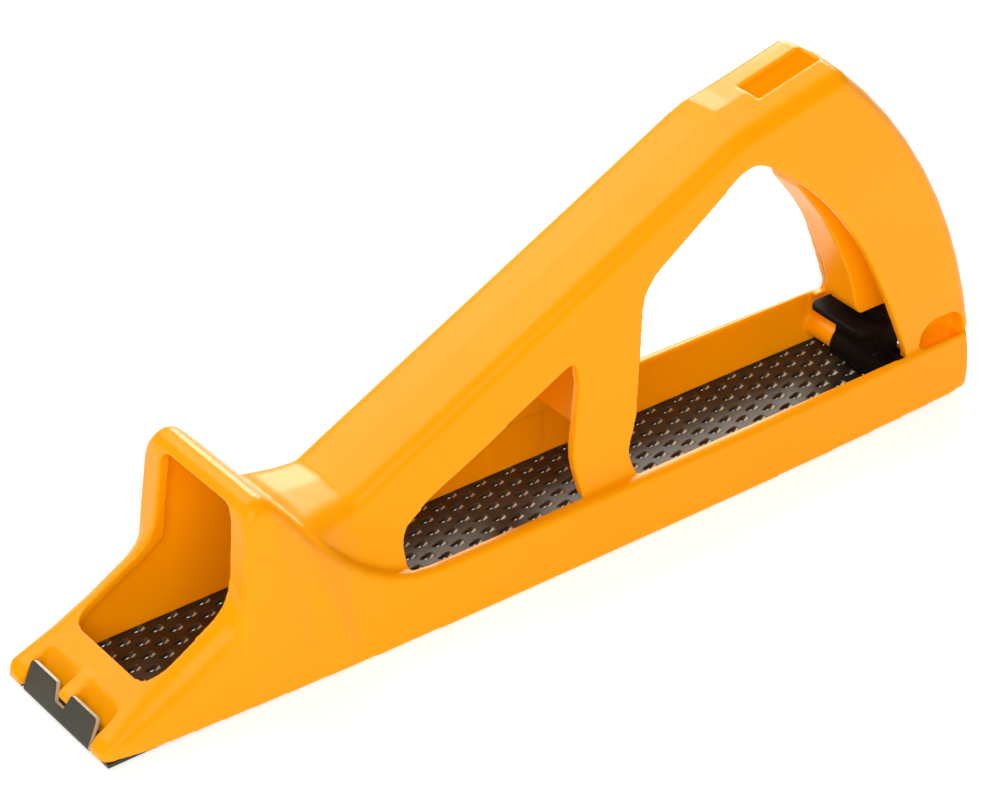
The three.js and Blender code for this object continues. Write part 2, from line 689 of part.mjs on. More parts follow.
// Lever: a broad cam block with a finger tab, turning on the pin
function leverProfile() {
  const shape = new THREE.Shape();
  const at = (radius, degrees) => {
    const angle = THREE.MathUtils.degToRad(degrees);
    return [pinX + radius * Math.cos(angle), pinZ + radius * Math.sin(angle)];
  };
  shape.moveTo(...at(leverHubRadius, hubFrontDegrees));
  shape.absarc(pinX, pinZ, leverHubRadius, THREE.MathUtils.degToRad(hubFrontDegrees), THREE.MathUtils.degToRad(hubRearDegrees));
  shape.lineTo(...at(leverCamRadius, camLowDegrees));
  shape.lineTo(...at(leverCamRadius, camHighDegrees));
  shape.lineTo(...at(leverSweep - leverCamNose, crownRearDegrees));
  shape.absarc(pinX, pinZ, leverSweep, THREE.MathUtils.degToRad(crownRearDegrees + crownRoundDegrees), THREE.MathUtils.degToRad(crownFrontDegrees));
  return shape;
}

function makeLever() {
  const block = across(leverProfile(), -leverHalfWidth, leverHalfWidth);
  const tipX = pinX - leverTabReach;
  const tipZ = pinZ + leverTabRise;
  const tab = [[tipX, tipZ], [tipX, tipZ - leverTabThickness], [pinX, tipZ - 2 * leverTabThickness], [pinX, tipZ]];
  const plan = [[tipX, -leverTabHalfWidth], [pinX, -leverTabHalfWidth], [pinX, leverTabHalfWidth], [tipX, leverTabHalfWidth]];
  const form = upright(rounded(plan, [leverTabCorner, 0, 0, leverTabCorner]), 0, tipZ + overrun);
  const finger = across(rounded(tab, [leverTabEdge, leverTabEdge, 0, 0]), -leverTabHalfWidth, leverTabHalfWidth).intersect(form);
  const hub = new THREE.CylinderGeometry(leverHubRadius, leverHubRadius, 2 * leverHalfWidth, pinSteps);
  const bore = new THREE.CylinderGeometry(pinRadius + pinFit, pinRadius + pinFit, 2 * leverHalfWidth + overrun, pinSteps);
  hub.translate(pinX, 0, pinZ);
  bore.translate(pinX, 0, pinZ);
  return block.add(finger).add(solidOf(hub)).subtract(solidOf(bore));
}

function makePin() {
  const length = 2 * (rackHalfWidth + pinGrip);
  const pin = new THREE.CylinderGeometry(pinRadius, pinRadius, length, pinSteps);
  pin.translate(pinX, 0, pinZ);
  return solidOf(pin);
}

const raspPlane = new THREE.Group();
raspPlane.name = "rasp_plane";
raspPlane.add(
  meshOf("body", makeBody(), palette.body),
  meshOf("rasp_blade", makeBlade(), palette.blade),
  meshOf("release_lever", makeLever(), palette.lever),
  meshOf("lever_pin", makePin(), palette.steel),
);
raspPlane.position.set(-(tailEnd - noseTip) / 2, 0, bladeThickness + toothDepth);

export default raspPlane;
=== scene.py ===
import math

import bmesh
import bpy
from bpy.props import FloatProperty, FloatVectorProperty, IntProperty, PointerProperty
from mathutils import Matrix, Vector


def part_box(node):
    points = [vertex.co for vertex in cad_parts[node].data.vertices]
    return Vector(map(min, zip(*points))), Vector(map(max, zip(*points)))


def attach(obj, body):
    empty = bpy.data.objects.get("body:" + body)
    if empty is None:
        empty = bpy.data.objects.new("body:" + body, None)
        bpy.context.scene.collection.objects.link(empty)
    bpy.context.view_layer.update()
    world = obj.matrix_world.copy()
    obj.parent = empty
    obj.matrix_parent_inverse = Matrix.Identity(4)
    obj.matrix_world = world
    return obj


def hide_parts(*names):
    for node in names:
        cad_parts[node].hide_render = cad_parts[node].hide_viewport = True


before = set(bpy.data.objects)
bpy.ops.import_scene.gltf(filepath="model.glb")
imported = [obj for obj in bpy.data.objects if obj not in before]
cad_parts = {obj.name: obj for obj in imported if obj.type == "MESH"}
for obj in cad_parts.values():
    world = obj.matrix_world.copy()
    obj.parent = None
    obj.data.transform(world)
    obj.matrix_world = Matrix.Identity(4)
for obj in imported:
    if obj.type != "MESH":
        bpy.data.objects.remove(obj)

bl_info = {
    "name": "Rasp plane",
    "version": (1, 0, 0),
    "blender": (4, 5, 0),
    "location": "View3D > Sidebar > Rasp plane",
    "description": "Dresses a moulded rasp plane: body, pierced blade, release lever, pin and stage",
    "category": "Object",
}

SENSOR_WIDTH = 36.0
PLASTIC_IOR = 1.53
# Detail of the noise in patches, in fine grain and in the moulding's ripple
PATCH_DETAIL = 3.0
GRAIN_DETAIL = 2.0
RIPPLE_DETAIL = 1.0
# Rolling lines are drawn out along the strip
ROLLED_LENGTHWISE = (0.03, 1.0, 1.0)
# Spacing of the wave texture's bands at a scale of 1
WAVE_SPACING = math.pi / 10
# Strength of one smoothing pass, and the share of a spacing within which vertices are welded
SMOOTHING = 0.5
WELD_SHARE = 0.01
# Steps round a tube, across a tab and round a bend
TUBE_STEPS = 48
TAB_COLUMNS = 81
BEND_STEPS = 6
# Edges of the blade that bend more than this stay crisp
SHARP_ANGLE = math.radians(35)
# A face counts as the label's floor when it faces up and lies between these shares of the label's depth
FACING_UP = 0.85
LABEL_SHALLOWEST = 0.4
LABEL_DEEPEST = 2
# Places of the finishes on the body and on the blade
LABEL_SLOT = 1
OXIDE_SLOT = 0
# Bare steel, painted pale so it also stands in as a glint
BARE_AND_GLINT_SLOT = 1
RIM_SLOT = 2


def linear(code):
    """Linear colour of an sRGB hex code."""
    shades = [int(code[at:at + 2], 16) / 255 for at in (1, 3, 5)]
    return [s / 12.92 if s <= 0.04045 else ((s + 0.055) / 1.055) ** 2.4 for s in shades] + [1.0]


def colour(name, description, code):
    """A colour that the user can change."""
    return FloatVectorProperty(name=name, description=description, subtype="COLOR", size=4, min=0, max=1,
                               default=linear(code))


def length(name, description, metres):
    """A length that the user can change."""
    return FloatProperty(name=name, description=description, unit="LENGTH", precision=5, default=metres)


def turn(name, description, degrees):
    """An angle that the user can change."""
    return FloatProperty(name=name, description=description, subtype="ANGLE", default=math.radians(degrees))


def amount(name, description, value, unit="NONE"):
    """Any other number that the user can change."""
    return FloatProperty(name=name, description=description, unit=unit, default=value)


def count(name, description, number):
    """A whole number that the user can change."""
    return IntProperty(name=name, description=description, default=number)


class MouldingSettings(bpy.types.PropertyGroup):
    orange: colour("Orange", "Colour moulded through the body", "#F49B00")
    orange_deep: colour("Deep orange", "Colour where the melt cooled slower", "#F09400")
    orange_floor: colour("Floor orange", "Flat, deep colour of the label's floor", "#F08000")
    sheen: colour("Sheen", "Warm tint of the gloss on the orange", "#FFF0B8")
    # Painted fill light: the orange glows a little so its hollows stay lit rather than shaded
    painted_glow: amount("Pigment glow", "Light that the bright pigment gives off", 0.12)
    skin: length("Skin", "Spacing of the body's even skin", 0.00035)
    edge_passes: count("Edge passes", "Passes that round every moulded edge", 12)
    blend_passes: count("Blend passes", "Passes that flow the saddle into the rails", 60)
    horn_back: length("Horn back", "How far the horn's top leans back", 0.0018)
    horn_rise: length("Horn rise", "How far the horn's top is drawn up", 0.0012)
    horn_foot: length("Horn foot", "Height above the blade where the lean starts", 0.022)
    horn_top: length("Horn top", "Height of the horn above the blade", 0.050)
    horn_front: length("Horn front", "Where the horn's window starts, behind the front bend", 0.034)
    horn_middle: length("Horn middle", "Where the lean starts to fade, behind the front bend", 0.050)
    horn_rear: length("Horn rear", "Where the lean has faded out behind the horn", 0.062)
    blend_front: length("Blend front", "Where the soft saddle starts, behind the blade's front bend", 0.045)
    blend_rear: length("Blend rear", "Where the soft saddle ends", 0.080)
    blend_fade: length("Blend fade", "Run over which the saddle's softness fades", 0.006)
    blend_floor: length("Blend floor", "Height above the floor where the softness starts", 0.009)
    blend_top: length("Blend top", "Height above the floor where the softness has ended", 0.044)
    label_place: length("Label place", "Middle of the bare label recess behind the front bend", 0.20475)
    label_half: length("Label half length", "Half the length of the label recess", 0.0097)
    label_half_width: length("Label half width", "Half the width of the label recess", 0.00375)
    label_depth: length("Label depth", "Depth of the label recess", 0.0011)
    label_height: length("Label height", "Height of the grip's top above the blade, at the label", 0.0970)
    label_rise: amount("Label rise", "Slope of the grip's top at the label", 0.243)
    ripple: length("Ripple", "Width of the shrink ripple in the gloss", 0.009)
    ripple_depth: length("Ripple depth", "Depth of the shrink ripple", 0.0003)
    flow: length("Flow marks", "Width of the patches of deeper colour", 0.045)
    grain: length("Tool grain", "Grain of the polished tool, drawn coarser than the real 0.05 mm", 0.0007)
    grain_depth: length("Grain depth", "Depth of the tool's grain", 0.00003)


class BladeSettings(bpy.types.PropertyGroup):
    oxide: colour("Oxide", "Oil-blackened face of the strip", "#1C180D")
    oxide_worn: colour("Worn oxide", "Rubbed patches of the face", "#4C4535")
    rim: colour("Rim", "Rolled rims of the openings, rubbed bright", "#5A5240")
    # Bare steel's own colour, pale enough to serve as a painted glint on sheared ends and cut edges
    cut_steel_and_glint: colour("Cut steel", "Bare steel where a tooth was sheared", "#B9AC8A")
    thickness: length("Strip", "Thickness of the strip", 0.001)
    tooth_pitch: length("Tooth pitch", "Distance between teeth in a row", 0.00896)
    row_pitch: length("Row pitch", "Distance between rows", 0.00237)
    row_shift: length("Row shift", "Shift of each row on its neighbour", 0.00364)
    tooth_start: length("First tooth", "Place of the middle row's pattern behind the front bend", 0.00304)
    end_margin: length("End margin", "Plain strip at each end", 0.006)
    hole_length: length("Opening length", "Length of one opening", 0.0040)
    hole_half: length("Opening half width", "Half the width of one opening", 0.00095)
    rolled: length("Rolled edge", "Width of the rolled edge round an opening", 0.00022)
    tooth_root: length("Tooth root", "Thickness of a tooth at its root", 0.0007)
    tab_half: length("Tab half width", "Half the width of the bent-up tab", 0.0134)
    tab_lean: length("Tab lean", "How far the tab leans over the blade", 0.003)
    notch_half: length("Notch half width", "Half the width of the notch", 0.0032)
    notch_depth: length("Notch depth", "Depth of the notch", 0.0039)
    corner_relief: length("Corner relief", "Depth of the relief beside the tab", 0.0014)
    rolling: length("Rolling lines", "Spacing of rolling lines, drawn coarser than the real 0.02 mm", 0.0003)
    rolling_depth: length("Rolling depth", "Depth of the rolling lines", 0.00004)
    torn_depth: length("Torn depth", "Depth of the torn grain of sheared steel", 0.00005)
    patch: length("Oxide patches", "Width of the duller patches", 0.006)


class LeverSettings(bpy.types.PropertyGroup):
    black: colour("Black", "Colour moulded through the lever", "#080706")
    bloom: colour("Bloom", "Greyer bloom on the lever", "#0E0C0A")
    ground: colour("Ground steel", "Colour of the ground pin", "#B9BABA")
    skin: length("Skin", "Spacing of the lever's even skin", 0.0003)
    edge_passes: count("Edge passes", "Passes that round the lever's edges", 5)
    hub_radius: length("Hub radius", "Radius of the lever's hub", 0.0043)
    sleeve_bore: length("Sleeve bore", "Radius inside the hub's long end, clear of the boss in it", 0.0035)
    sleeve_start: length("Sleeve start", "Where the hub's long end leaves the block, from the middle", 0.0070)
    sleeve_end: length("Sleeve end", "Where the hub's long end stops, from the middle", 0.0168)
    texture: length("Spark texture", "Grain of the eroded tool", 0.0005)
    texture_depth: length("Texture depth", "Depth of the eroded tool's grain", 0.00005)
    bloom_width: length("Bloom width", "Width of the patches of bloom", 0.008)
    lines: length("Grinding lines", "Spacing of the lines, drawn coarser than the real 0.05 mm", 0.000628)
    line_depth: length("Line depth", "Depth of the grinding lines", 0.00002)


class StageSettings(bpy.types.PropertyGroup):
    card: colour("Card", "Colour of the floor", "#CFCFCD")
    card_grain: length("Card grain", "Grain of the card", 0.002)
    card_depth: length("Card depth", "Depth of the card's grain", 0.0001)
    floor_half: length("Floor half width", "Half the width of the floor", 4.0)
    eye: FloatVectorProperty(name="Eye", description="Place of the camera", subtype="XYZ", unit="LENGTH",
                             default=(-0.43121, -0.53066, 0.48626), precision=5)
    focal: amount("Focal length", "Focal length in millimetres", 125.695, unit="CAMERA")
    azimuth: turn("Azimuth", "Camera direction round the tool", -38.555)
    elevation: turn("Elevation", "Camera height as an angle", 33.351)
    roll: turn("Roll", "Camera roll", 1.2528)
    card_glow: amount("Card glow", "Light that the backlit card gives off", 1.05)
    sky: amount("Sky", "Strength of the even white surround", 0.2)
    back_power: amount("Back light", "Power of the softbox low behind", 17.0, unit="POWER")
    back_azimuth: turn("Back azimuth", "Direction of the softbox low behind", 138)
    back_elevation: turn("Back elevation", "Height of the softbox low behind", 28)
    top_power: amount("Top light", "Power of the softbox overhead", 13.0, unit="POWER")
    top_azimuth: turn("Top azimuth", "Direction of the softbox overhead", 197)
    top_elevation: turn("Top elevation", "Height of the softbox overhead", 52)
    front_power: amount("Front light", "Power of the softbox in front", 15.5, unit="POWER")
    front_azimuth: turn("Front azimuth", "Direction of the softbox in front", -37)
    front_elevation: turn("Front elevation", "Height of the softbox in front", 34)
    softbox: length("Softbox", "Side of the square softboxes", 1.0)
    strip_box: length("Strip box", "Side of the harder box that draws the highlights", 0.65)
    reach: length("Softbox distance", "Distance of the softboxes from the tool", 1.5)


def add_node(tree, kind, inputs=None, **settings):
    """One node with its settings, and its inputs as values or as other nodes' sockets."""
    node = tree.nodes.new(kind)
    for field, value in settings.items():
        setattr(node, field, value)
    for socket, value in (inputs or {}).items():
        if isinstance(value, bpy.types.NodeSocket):
            tree.links.new(value, node.inputs[socket])
        else:
            node.inputs[socket].default_value = value
    return node


def begin_material(name):
    """A bare material, its node tree and the object's own coordinates in metres."""
    material = bpy.data.materials.new(name)
    material.use_nodes = True
    tree = material.node_tree
    tree.nodes.clear()
    place = add_node(tree, "ShaderNodeTexCoord").outputs["Object"]
    return material, tree, place


def end_material(tree, **surface):
    """The shader and the output. Keys are the shader's sockets with underscores for spaces."""
    inputs = {key.replace("_", " "): value for key, value in surface.items()}
    shader = add_node(tree, "ShaderNodeBsdfPrincipled", inputs)
    add_node(tree, "ShaderNodeOutputMaterial", {"Surface": shader.outputs["BSDF"]})


def mottle(tree, place, width, shades, dullness):
    """Soft patches as wide as named, from one colour and roughness to another."""
    patches = {"Vector": place, "Scale": 1 / width, "Detail": PATCH_DETAIL}
    share = add_node(tree, "ShaderNodeTexNoise", patches).outputs["Fac"]
    tint = add_node(tree, "ShaderNodeMix", {0: share, 6: shades[0], 7: shades[1]}, data_type="RGBA")
    limits = {"Value": share, "To Min": dullness[0], "To Max": dullness[1]}
    rough = add_node(tree, "ShaderNodeMapRange", limits)
    return tint.outputs[2], rough.outputs["Result"]


def relief(tree, place, width, depth, strength, detail=GRAIN_DETAIL, under=None):
    """A random relief with marks as wide and deep as named, over another where there is one."""
    marks = {"Vector": place, "Scale": 1 / width, "Detail": detail}
    height = add_node(tree, "ShaderNodeTexNoise", marks).outputs["Fac"]
    bump = {"Height": height, "Strength": strength, "Distance": depth}
    if under is not None:
        bump["Normal"] = under
    return add_node(tree, "ShaderNodeBump", bump).outputs["Normal"]


def moulded_abs(settings, name, shades, dullness, glare):
    """ABS from a steel tool, which sets its gloss. It glows a little as painted fill light, so hollows stay
    warm instead of shaded.
    """
    material, tree, place = begin_material(name)
    tint, rough = mottle(tree, place, settings.flow, shades, dullness)
    wave = relief(tree, place, settings.ripple, settings.ripple_depth, strength=0.2, detail=RIPPLE_DETAIL)
    skin = relief(tree, place, settings.grain, settings.grain_depth, strength=0.1, under=wave)
    end_material(tree, Base_Color=tint, Roughness=rough, IOR=PLASTIC_IOR, Normal=skin,
                 Specular_IOR_Level=glare, Specular_Tint=settings.sheen,
                 Emission_Color=tint, Emission_Strength=settings.painted_glow)
    return material


def glossy_abs(settings):
    """ABS from a polished tool: a bright gloss that ripples faintly where the walls shrank."""
    shades = (settings.orange, settings.orange_deep)
    return moulded_abs(settings, "Glossy moulded ABS", shades, dullness=(0.26, 0.36), glare=0.2)


def matt_abs(settings):
    """ABS from an eroded patch of the tool, for the label's floor: flat and deeper in colour."""
    shades = (settings.orange_floor, settings.orange_floor)
    return moulded_abs(settings, "Matt moulded ABS", shades, dullness=(0.7, 0.85), glare=0.0)


def textured_nylon(settings):
    """Glass-filled nylon from a spark-eroded tool: nearly black, with a dull, fine grain."""
    material, tree, place = begin_material("Satin moulded nylon")
    shades = (settings.black, settings.bloom)
    tint, rough = mottle(tree, place, settings.bloom_width, shades, dullness=(0.5, 0.65))
    grain = relief(tree, place, settings.texture, settings.texture_depth, strength=0.35)
    end_material(tree, Base_Color=tint, Roughness=rough, IOR=PLASTIC_IOR, Specular_IOR_Level=0.12,
                 Normal=grain)
    return material


def oxide_steel(settings):
    """Spring steel, hardened and oil-blackened: brown-black, rubbed greyer in patches, with rolling lines."""
    material, tree, place = begin_material("Oil-blackened spring steel")
    shades = (settings.oxide, settings.oxide_worn)
    tint, rough = mottle(tree, place, settings.patch, shades, dullness=(0.36, 0.54))
    drawn = add_node(tree, "ShaderNodeMapping", {"Vector": place, "Scale": ROLLED_LENGTHWISE})
    lines = relief(tree, drawn.outputs["Vector"], settings.rolling, settings.rolling_depth, strength=0.3)
    end_material(tree, Base_Color=tint, Metallic=0.5, Roughness=rough, Normal=lines)
    return material


def rubbed_rim(settings):
    """Steel rims rubbed through their oxide by shavings: mid grey-brown and a little polished."""
    material, tree, place = begin_material("Rubbed steel rim")
    shades = (settings.rim, settings.oxide_worn)
    tint, rough = mottle(tree, place, settings.patch, shades, dullness=(0.3, 0.45))
    end_material(tree, Base_Color=tint, Metallic=0.6, Roughness=rough)
    return material


def sheared_steel_and_glint(settings):
    """Bare steel where the punch sheared it, with a torn grain: pale and bright against the oxide, drawn as a
    pale non-metal so it also stands in as a painted glint.
    """
    material, tree, place = begin_material("Sheared bare steel with painted glint")
    marks = {"Vector": place, "Scale": 1 / settings.rolling, "Detail": PATCH_DETAIL}
    torn = add_node(tree, "ShaderNodeTexNoise", marks).outputs["Fac"]
    bright = add_node(tree, "ShaderNodeMapRange", {"Value": torn, "To Min": 0.7, "To Max": 1.3})
    shades = {0: bright.outputs["Result"], 6: settings.rim, 7: settings.cut_steel_and_glint}
    tint = add_node(tree, "ShaderNodeMix", shades, data_type="RGBA").outputs[2]
    rough = add_node(tree, "ShaderNodeMapRange", {"Value": torn, "To Min": 0.3, "To Max": 0.5})
    bump = {"Height": torn, "Strength": 0.4, "Distance": settings.torn_depth}
    grain = add_node(tree, "ShaderNodeBump", bump)
    end_material(tree, Base_Color=tint, Metallic=0.0, Roughness=rough.outputs["Result"],
                 Normal=grain.outputs["Normal"])
    return material


def ground_steel(settings):
    """Centreless-ground silver steel: bright, with fine rings round the pin."""
    material, tree, place = begin_material("Ground silver steel")
    wave = {"Vector": place, "Scale": WAVE_SPACING / settings.lines, "Distortion": 2.0}
    rings = add_node(tree, "ShaderNodeTexWave", wave, bands_direction="Y").outputs["Fac"]
    rough = add_node(tree, "ShaderNodeMapRange", {"Value": rings, "To Min": 0.22, "To Max": 0.34})
    bump = {"Height": rings, "Strength": 0.2, "Distance": settings.line_depth}
    lines = add_node(tree, "ShaderNodeBump", bump)
    end_material(tree, Base_Color=settings.ground, Metallic=1.0, Roughness=rough.outputs["Result"],
                 Normal=lines.outputs["Normal"])
    return material


def matt_card(settings):
    """Matt white card over a light table: even and pale, with a fine paper grain and thin shadows."""
    material, tree, place = begin_material("Matt white card")
    grain = relief(tree, place, settings.card_grain, settings.card_depth, strength=0.05)
    end_material(tree, Base_Color=settings.card, Roughness=0.9, Specular_IOR_Level=0.1, Normal=grain,
                 Emission_Color=settings.card, Emission_Strength=settings.card_glow)
    return material


def place_piece(name, mesh, materials):
    """A named object in the scene with its materials."""
    for material in materials:
        mesh.materials.append(material)
    piece = bpy.data.objects.new(name, mesh)
    bpy.context.scene.collection.objects.link(piece)
    return piece


def stands_for(piece, node, body):
    """The piece moves with its body and hides the plain solid."""
    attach(piece, body)
    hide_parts(node)


def bake_modifiers(piece):
    """Turns the piece's modifiers into its own mesh."""
    shaped = piece.evaluated_get(bpy.context.evaluated_depsgraph_get())
    mesh = bpy.data.meshes.new_from_object(shaped)
    old = piece.data
    piece.modifiers.clear()
    piece.data = mesh
    bpy.data.meshes.remove(old)


def tube(shell, centre, start, end, inner, outer):
    """A tube across the tool between two places, round a centre given as (x, z)."""
    rings = []
    for radius, y in ((outer, start), (outer, end), (inner, end), (inner, start)):
        ring = []
        for step in range(TUBE_STEPS):
            angle = 2 * math.pi * step / TUBE_STEPS
            x = centre[0] + radius * math.cos(angle)
            z = centre[1] + radius * math.sin(angle)
            ring.append(shell.verts.new((x, y, z)))
        rings.append(ring)
    for ring, after in zip(rings, rings[1:] + rings[:1]):
        for step in range(TUBE_STEPS):
            beside = (step + 1) % TUBE_STEPS
            shell.faces.new((ring[step], ring[beside], after[beside], after[step]))


def even_skin(name, node, spacing, materials, extra=None):
    """A copy of a plain solid, with what extra adds, drawn again as an even skin that can be rounded."""
    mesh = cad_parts[node].data.copy()
    mesh.materials.clear()
    shell = bmesh.new()
    shell.from_mesh(mesh)
    bmesh.ops.remove_doubles(shell, verts=shell.verts, dist=spacing * WELD_SHARE)
    if extra:
        extra(shell)
    shell.to_mesh(mesh)
    shell.free()
    piece = place_piece(name, mesh, materials)
    remesh = piece.modifiers.new("Even skin", "REMESH")
    remesh.mode = "VOXEL"
    remesh.voxel_size = spacing
    remesh.use_smooth_shade = True
    bake_modifiers(piece)
    return piece


def relax(piece, passes, group=""):
    """Rounds the skin, everywhere or by a vertex group's weights."""
    smooth = piece.modifiers.new("Round edges", "SMOOTH")
    smooth.factor = SMOOTHING
    smooth.iterations = passes
    smooth.vertex_group = group


def ramp(value, start, end):
    """0 before start, 1 after end and smooth between."""
    share = min(max((value - start) / (end - start), 0.0), 1.0)
    return share * share * (3 - 2 * share)


def blade_front(thickness):
    """Where the blade's front bend starts along the tool, and the height of the strip's top."""
    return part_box("rasp_blade")[0][0] + thickness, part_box("body")[0][2]


def saddle_group(piece, settings, bend):
    """Weights that are full where the handle, the horn's back and the rails flow together."""
    fade = settings.blend_fade
    group = piece.vertex_groups.new(name="saddle")
    for vertex in piece.data.vertices:
        run = vertex.co.x - bend
        weight = ramp(run, settings.blend_front - fade, settings.blend_front)
        weight *= 1 - ramp(run, settings.blend_rear - fade, settings.blend_rear)
        weight *= ramp(vertex.co.z, settings.blend_floor, settings.blend_floor + fade / 2)
        weight *= 1 - ramp(vertex.co.z, settings.blend_top - fade, settings.blend_top)
        if weight > 0:
            group.add([vertex.index], weight, "REPLACE")
    return group.name


def lean_horn(piece, settings, bend, top):
    """Leans the horn's top back and draws it up, fading out down its walls and behind it."""
    for vertex in piece.data.vertices:
        run = vertex.co.x - bend
        share = ramp(vertex.co.z - top, settings.horn_foot, settings.horn_top)
        share *= ramp(run, 0, settings.horn_front)
        share *= 1 - ramp(run, settings.horn_middle, settings.horn_rear)
        vertex.co.x += share * settings.horn_back
        vertex.co.z += share * settings.horn_rise


def mark_label(piece, settings, bend, top):
    """Gives the label recess's floor its own finish."""
    for face in piece.data.polygons:
        run = face.center.x - bend - settings.label_place
        level = top + settings.label_height + run * settings.label_rise
        depth = (level - face.center.z) / settings.label_depth
        inside = abs(run) < settings.label_half and abs(face.center.y) < settings.label_half_width
        if inside and LABEL_SHALLOWEST < depth < LABEL_DEEPEST and face.normal.z > FACING_UP:
            face.material_index = LABEL_SLOT


class RASPPLANE_OT_body(bpy.types.Operator):
    """Makes the orange moulding with its rounded edges and flowing saddle"""
    bl_idname = "raspplane.body"
    bl_label = "Moulded body"

    def execute(self, context):
        settings = context.scene.rasp_moulding
        bend, top = blade_front(context.scene.rasp_blade.thickness)
        finishes = [glossy_abs(settings), matt_abs(settings)]
        piece = even_skin("moulded_body", "body", settings.skin, finishes)
        relax(piece, settings.blend_passes, saddle_group(piece, settings, bend))
        relax(piece, settings.edge_passes)
        bake_modifiers(piece)
        lean_horn(piece, settings, bend, top)
        mark_label(piece, settings, bend, top)
        stands_for(piece, "body", "frame")
        return {"FINISHED"}


# Outlines of an opening, its throat and the strip round it, in shares of half sizes, front point first
HOLE_SHARES = ((-1, 0), (-0.72, -0.4), (-0.1, -0.78), (0.6, -1), (0.93, -0.82), (1, -0.4),
               (1, 0.4), (0.93, 0.82), (0.6, 1), (-0.1, 0.78), (-0.72, 0.4))
THROAT_SHARES = ((-1, 0), (-0.72, -0.4), (-0.1, -0.78), (0.4, -0.95), (0.5, -0.75), (0.5, -0.35),
                 (0.5, 0.35), (0.5, 0.75), (0.4, 0.95), (-0.1, 0.78), (-0.72, 0.4))
CELL_SHARES = ((-1, 0), (-1, -1), (-0.1, -1), (0.5, -1), (1, -1), (1, -0.4),
               (1, 0.4), (1, 1), (0.5, 1), (-0.1, 1), (-1, 1))
# Places on those outlines where the tooth is rooted, and where the opening is sheared bare and painted pale
# as a glint
ROOT = range(3, 8)
SHEARED_GLINT = (5,)
# Corners of each face of a plain block, with the lower four numbered first
BLOCK_FACES = ((3, 2, 1, 0), (4, 5, 6, 7), (0, 1, 5, 4), (1, 2, 6, 5), (2, 3, 7, 6), (3, 0, 4, 7))


class Strip:
    """Vertices and faces of the blade as they are laid down, with a material for each face."""

    def __init__(self, settings):
        self.settings = settings
        self.vertices = []
        self.faces = []
        self.finishes = []

    def ring(self, shares, half_x, half_y, centre, height):
        """Vertices on an outline at a height."""
        start = len(self.vertices)
        self.vertices += [(centre[0] + x * half_x, centre[1] + y * half_y, height) for x, y in shares]
        return list(range(start, len(self.vertices)))

    def face(self, corners, finish=OXIDE_SLOT):
        """One face and its finish."""
        self.faces.append(corners)
        self.finishes.append(finish)

    def band(self, outer, inner, finish=OXIDE_SLOT, sheared=(), left_out=()):
        """Faces between two rings, with some sheared bare and painted pale as a glint, and some left out."""
        for k in range(len(outer)):
            if k not in left_out:
                after = (k + 1) % len(outer)
                corners = (outer[k], outer[after], inner[after], inner[k])
                self.face(corners, BARE_AND_GLINT_SLOT if k in sheared else finish)

    def block(self, low, high):
        """A plain stretch of strip."""
        start = len(self.vertices)
        square = ((low[0], low[1]), (high[0], low[1]), (high[0], high[1]), (low[0], high[1]))
        self.vertices += [(x, y, z) for z in (low[2], high[2]) for x, y in square]
        for corners in BLOCK_FACES:
            self.face([start + corner for corner in corners])

    def tooth(self, centre, top, tip):
        """One opening with its rolled edge, its sheared end painted pale as a glint, and the tooth that hangs
        below.
        """
        s = self.settings
        bottom = top - s.thickness
        half_x, half_y = s.hole_length / 2, s.hole_half
        cell = (s.tooth_pitch / 2, s.row_pitch / 2)
        outer = self.ring(CELL_SHARES, *cell, centre, top)
        flat = self.ring(HOLE_SHARES, half_x + s.rolled, half_y + s.rolled, centre, top)
        rolled = self.ring(HOLE_SHARES, half_x, half_y, centre, top - s.rolled)
        throat = self.ring(THROAT_SHARES, half_x - s.rolled, half_y - s.rolled, centre, bottom)
        skirt = self.ring(HOLE_SHARES, half_x + s.tooth_root, half_y + s.rolled, centre, bottom)
        below = self.ring(CELL_SHARES, *cell, centre, bottom)
        self.band(outer, flat)
        self.band(flat, rolled, RIM_SLOT)
        self.band(rolled, throat, sheared=SHEARED_GLINT)
        self.band(throat, skirt, left_out=ROOT)
        self.band(skirt, below)
        point = len(self.vertices)
        self.vertices.append((centre[0] - half_x + s.tooth_root, centre[1], tip))
        for k in ROOT:
            self.face((throat[k], throat[k + 1], point), RIM_SLOT)
            self.face((skirt[k + 1], skirt[k], point))
        self.face((throat[ROOT.start], point, skirt[ROOT.start]), BARE_AND_GLINT_SLOT)
        self.face((skirt[ROOT.stop], point, throat[ROOT.stop]), BARE_AND_GLINT_SLOT)


def lay_rows(strip, front, rear, top, tip):
    """Rows of teeth across the strip, each shifted on the one before, and the plain ends."""
    s = strip.settings
    half_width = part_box("rasp_blade")[1][1]
    bottom = top - s.thickness
    rows = int((half_width - s.row_pitch / 2) / s.row_pitch)
    for row in range(-rows, rows + 1):
        y = row * s.row_pitch
        first = front + s.end_margin + (s.tooth_start - s.end_margin - row * s.row_shift) % s.tooth_pitch
        teeth = int((rear - s.end_margin - first) / s.tooth_pitch) + 1
        for k in range(teeth):
            strip.tooth((first + k * s.tooth_pitch, y), top, tip)
        start = first - s.tooth_pitch / 2
        end = start + teeth * s.tooth_pitch
        beside_tab = abs(y) + s.row_pitch / 2 > s.tab_half and abs(y) < s.tab_half + s.row_pitch
        inset = s.corner_relief if beside_tab else 0
        strip.block((front + inset, y - s.row_pitch / 2, bottom), (start, y + s.row_pitch / 2, top))
        strip.block((end, y - s.row_pitch / 2, bottom), (rear - inset, y + s.row_pitch / 2, top))
    edge = (rows + 0.5) * s.row_pitch
    strip.block((front, edge, bottom), (rear, half_width, top))
    strip.block((front, -half_width, bottom), (rear, -edge, top))


